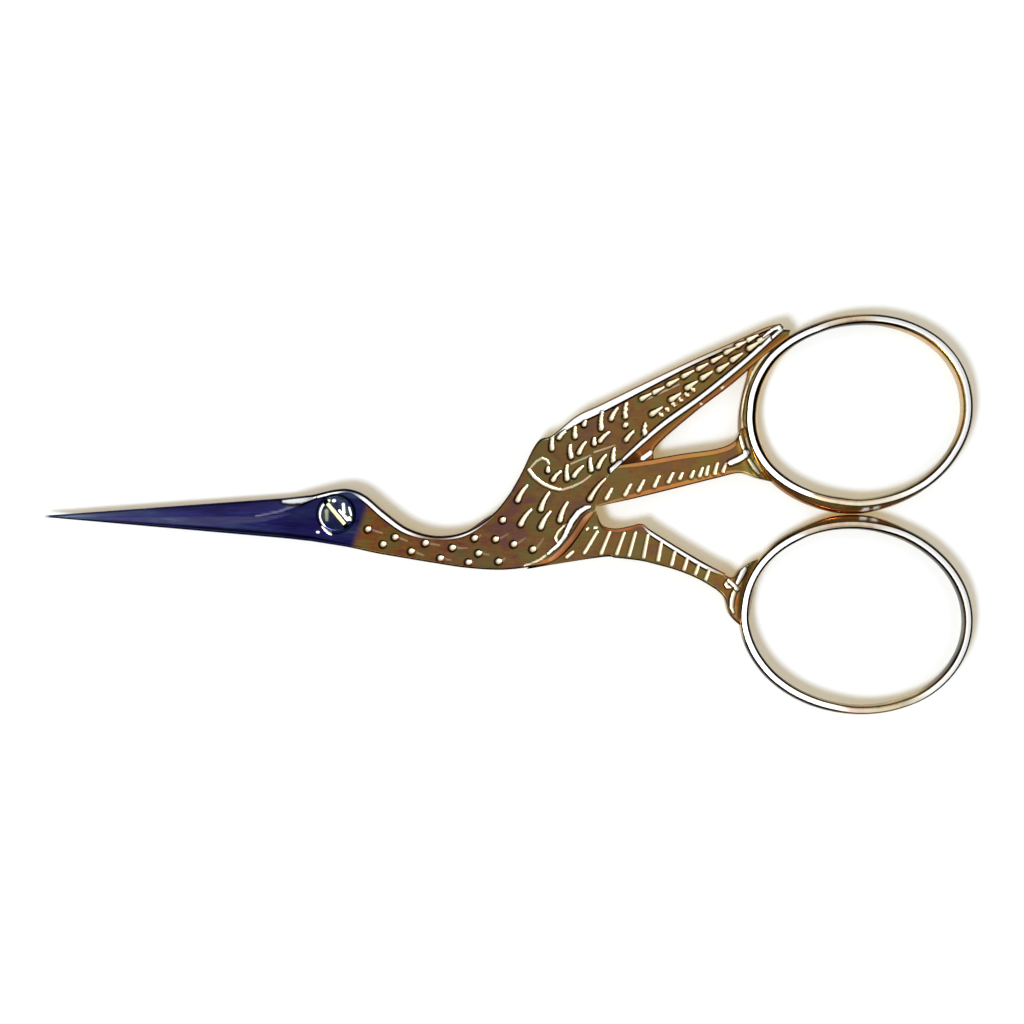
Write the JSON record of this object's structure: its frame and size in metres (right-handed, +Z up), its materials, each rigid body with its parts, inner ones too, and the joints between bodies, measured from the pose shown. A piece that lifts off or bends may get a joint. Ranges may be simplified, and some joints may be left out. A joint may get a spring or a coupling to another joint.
{
  "type": "embroidery scissors",
  "caption": "Small stork-shaped embroidery scissors with slim pointed blades as the beak, an engraved wing and leg, and oval finger bows.",
  "frame": {"origin": "on the pivot axis, in the plane that the closed scissors lie on", "axes": "+X from the pivot towards the finger bows, +Y towards the upper bow and the wing, +Z up out of the decorated front face"},
  "size_m": [0.09, 0.039, 0.0034],
  "materials": {
    "gilt_steel": "polished gold plating on forged steel",
    "polished_steel": "polished bare steel"
  },
  "bodies": {
    "back": {"back_half": "gilt_steel", "pivot_screw": "polished_steel"},
    "front": {"front_half": "gilt_steel"}
  },
  "joints": [
    {"name": "pivot", "type": "hinge", "parent": "back", "child": "front", "pos_m": [0, 0, 0.00147], "axis": [0, 0, 1], "range_deg": [0, 90]}
  ]
}
